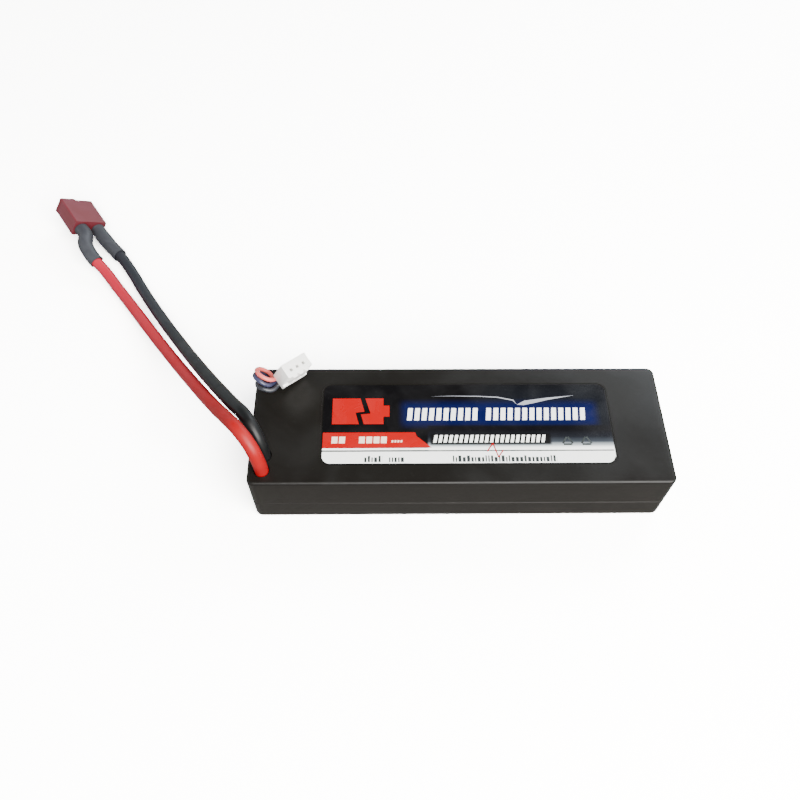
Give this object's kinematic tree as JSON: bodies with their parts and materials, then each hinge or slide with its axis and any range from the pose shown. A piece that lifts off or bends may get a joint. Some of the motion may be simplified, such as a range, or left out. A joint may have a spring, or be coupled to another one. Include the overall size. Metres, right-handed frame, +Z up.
{
  "type": "battery pack",
  "caption": "Hard-cased two-cell lithium polymer battery pack with a red T-plug on two thick leads and a small balance connector.",
  "frame": {"origin": "bottom centre of the case, on the surface that the pack lies on", "axes": "+X along the case's length, away from the end where the leads come out; +Y across its width, away from the side that has the main leads' slot near it; +Z up through the labelled top"},
  "size_m": [0.2343, 0.1459, 0.0404],
  "materials": {
    "case": "satin moulded",
    "label_film": "printed film",
    "cell_pouch": "laminated film",
    "tab_nickel": "rolled strip",
    "foam": "closed-cell foam",
    "tape": "polyimide tape",
    "board": "solder mask",
    "solder": "bright solder",
    "red_silicone": "silicone insulation",
    "black_silicone": "silicone insulation",
    "heat_shrink": "shrunk tubing",
    "plug_nylon": "moulded nylon",
    "contact_gold": "gold flash",
    "wire_black": "insulation",
    "wire_blue": "insulation",
    "wire_red": "insulation",
    "connector_nylon": "natural nylon",
    "crimp_tin": "tin plate"
  },
  "bodies": {
    "root": {"lower_shell": "case", "upper_shell": "case", "label": "label_film", "lower_cell": "cell_pouch", "upper_cell": "cell_pouch", "lower_cell_tabs": "tab_nickel", "upper_cell_tabs": "tab_nickel", "base_pad": "foam", "middle_pad": "foam", "top_pad": "foam", "end_pad": "foam", "seal_tape": "tape", "circuit_board": "board", "tab_solder": "solder", "lead_solder": "solder", "balance_solder": "solder", "red_lead": "red_silicone", "black_lead": "black_silicone", "red_sleeve": "heat_shrink", "black_sleeve": "heat_shrink", "plug_housing": "plug_nylon", "plug_contact_flat": "contact_gold", "plug_contact_upright": "contact_gold", "balance_wire_black": "wire_black", "balance_wire_blue": "wire_blue", "balance_wire_red": "wire_red", "balance_housing": "connector_nylon", "balance_crimps": "crimp_tin"}
  },
  "joints": []
}
